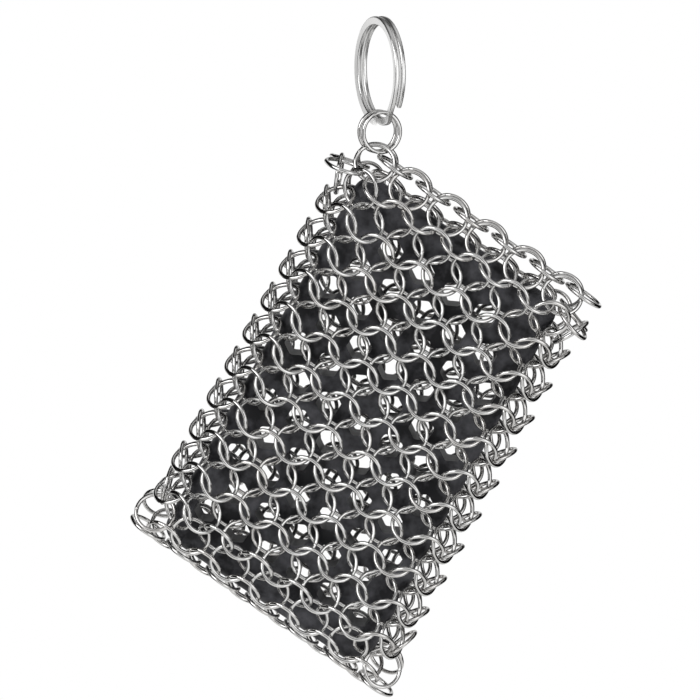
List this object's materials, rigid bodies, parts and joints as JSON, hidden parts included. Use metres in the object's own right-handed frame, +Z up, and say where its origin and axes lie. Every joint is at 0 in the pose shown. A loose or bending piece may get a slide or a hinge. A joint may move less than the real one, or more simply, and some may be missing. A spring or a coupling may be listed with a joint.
{
  "type": "chainmail pot scrubber",
  "caption": "Pocket of linked steel rings round a soft honeycomb insert, hung by one corner from a split key ring; it scours pots and pans.",
  "frame": {"origin": "inside of the key ring at its top, where a hook carries it", "axes": "+Z up, plumb line through the hook and the pad's hanging corner; -Y towards the front of the pad; +X to the right of someone who looks at the front"},
  "size_m": [0.1179, 0.0254, 0.1711],
  "materials": {
    "mail_steel": "polished stainless wire",
    "connector_steel": "polished stainless wire",
    "key_ring_steel": "polished flat steel wire",
    "insert_silicone": "matt moulded silicone"
  },
  "bodies": {
    "key_ring": {"key_ring": "key_ring_steel"},
    "connectors": {"front_connector_ring": "connector_steel", "back_connector_ring": "connector_steel"},
    "mail": {"mail_row_01": "mail_steel", "mail_row_02": "mail_steel", "mail_row_03": "mail_steel", "mail_row_04": "mail_steel", "mail_row_05": "mail_steel", "mail_row_06": "mail_steel", "mail_row_07": "mail_steel", "mail_row_08": "mail_steel", "mail_row_09": "mail_steel", "mail_row_10": "mail_steel", "mail_row_11": "mail_steel", "mail_row_12": "mail_steel", "mail_row_13": "mail_steel", "mail_row_14": "mail_steel", "mail_row_15": "mail_steel", "mail_row_16": "mail_steel", "mail_row_17": "mail_steel", "mail_row_18": "mail_steel", "mail_row_19": "mail_steel", "mail_row_20": "mail_steel", "mail_row_21": "mail_steel", "mail_row_22": "mail_steel", "mail_row_23": "mail_steel", "mail_row_24": "mail_steel", "mail_row_25": "mail_steel", "top_closing_rings": "mail_steel", "bottom_closing_rings": "mail_steel", "top_right_corner_ring": "mail_steel", "bottom_left_corner_ring": "mail_steel", "bottom_right_corner_ring": "mail_steel"},
    "insert": {"soft_insert": "insert_silicone"}
  },
  "joints": [
    {"name": "connector_swing", "type": "hinge", "parent": "key_ring", "child": "connectors", "pos_m": [0, 0, -0.0236], "axis": [0.4695, -0.8829, 0], "range_deg": [-60, 60]},
    {"name": "pad_swing", "type": "hinge", "parent": "connectors", "child": "mail", "pos_m": [0, 0, -0.02617], "axis": [0.5, -0.866, 0], "range_deg": [-45, 45]},
    {"name": "insert_slide", "type": "slide", "parent": "mail", "child": "insert", "axis": [0.4739, 0, 0.8806], "range_m": [0, 0.0018]}
  ]
}
